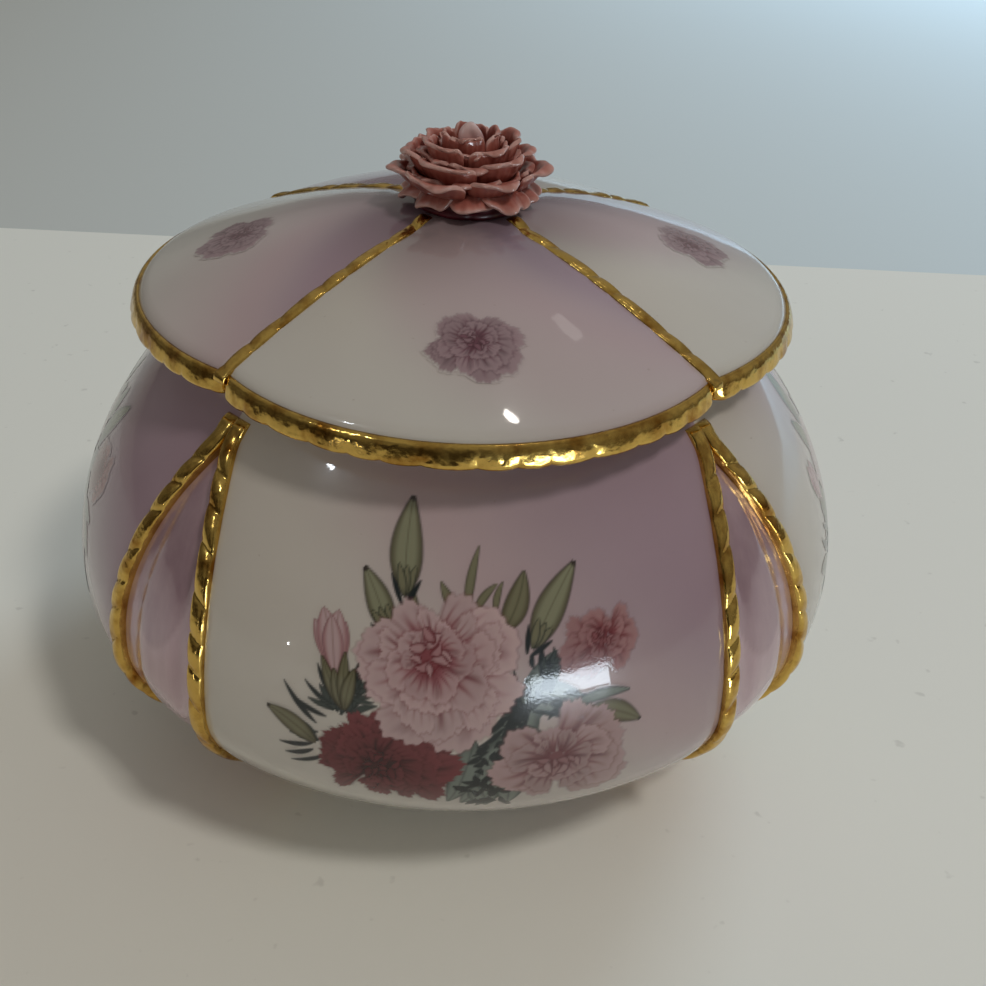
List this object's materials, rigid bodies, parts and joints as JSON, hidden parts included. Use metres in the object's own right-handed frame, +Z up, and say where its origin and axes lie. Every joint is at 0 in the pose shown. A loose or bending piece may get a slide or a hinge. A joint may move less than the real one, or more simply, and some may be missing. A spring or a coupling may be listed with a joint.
{
  "type": "porcelain trinket box",
  "caption": "Low cushion-shaped glazed porcelain box with recessed pleats, gilt cord trim and a domed lift-off lid carrying a modelled carnation knob.",
  "frame": {"origin": "centre of the foot ring on the surface that the box stands on", "axes": "+Z up through the middle of the flower; the front panel faces -Y and +X is to its right"},
  "size_m": [0.125, 0.125, 0.0953],
  "materials": {
    "bowl_glaze": "gloss",
    "lid_glaze": "gloss",
    "pleat_lustre": "gloss",
    "gilding": "polished",
    "calyx_glaze": "gloss",
    "petal_glaze": "gloss"
  },
  "bodies": {
    "box": {"bowl": "bowl_glaze", "pleat_front_left": "pleat_lustre", "pleat_front_right": "pleat_lustre", "pleat_back_right": "pleat_lustre", "pleat_back_left": "pleat_lustre", "cord_front_left_outer": "gilding", "cord_front_left_inner": "gilding", "cord_front_right_inner": "gilding", "cord_front_right_outer": "gilding", "cord_back_right_outer": "gilding", "cord_back_right_inner": "gilding", "cord_back_left_inner": "gilding", "cord_back_left_outer": "gilding"},
    "lid": {"lid": "lid_glaze", "rim_band": "gilding", "lid_cord_front_left": "gilding", "lid_cord_front_right": "gilding", "lid_cord_back_right": "gilding", "lid_cord_back_left": "gilding", "flower_base": "calyx_glaze", "petals_lowest": "petal_glaze", "petals_lower": "petal_glaze", "petals_middle": "petal_glaze", "petals_upper": "petal_glaze", "petals_top": "petal_glaze", "flower_heart": "petal_glaze"}
  },
  "joints": [
    {"name": "lid_lift", "type": "slide", "parent": "box", "child": "lid", "axis": [0, 0, 1], "range_m": [0, 0.08]}
  ]
}
